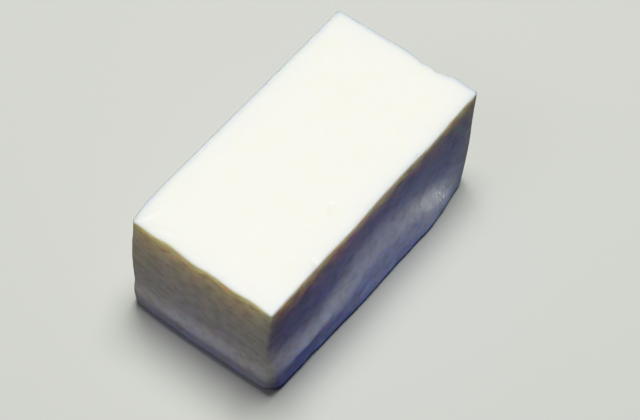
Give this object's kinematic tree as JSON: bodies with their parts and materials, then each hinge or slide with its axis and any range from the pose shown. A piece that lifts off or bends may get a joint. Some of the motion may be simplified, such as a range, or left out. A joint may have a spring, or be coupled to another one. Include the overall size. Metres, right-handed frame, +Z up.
{
  "type": "tofu block",
  "caption": "Block of fresh soft tofu, cut square with sharp upper edges, a flat top and a foot that has sagged outwards, resting on its flat base",
  "frame": {"origin": "on the resting plane, under the middle of the block's bounding box", "axes": "+X runs along the block from its wavy near end to its chipped far end, +Y runs across it from the front wall to the back wall, +Z is up"},
  "size_m": [0.1082, 0.0602, 0.0471],
  "materials": {
    "curd": "wet satin"
  },
  "bodies": {
    "root": {"tofu_block": "curd"}
  },
  "joints": []
}
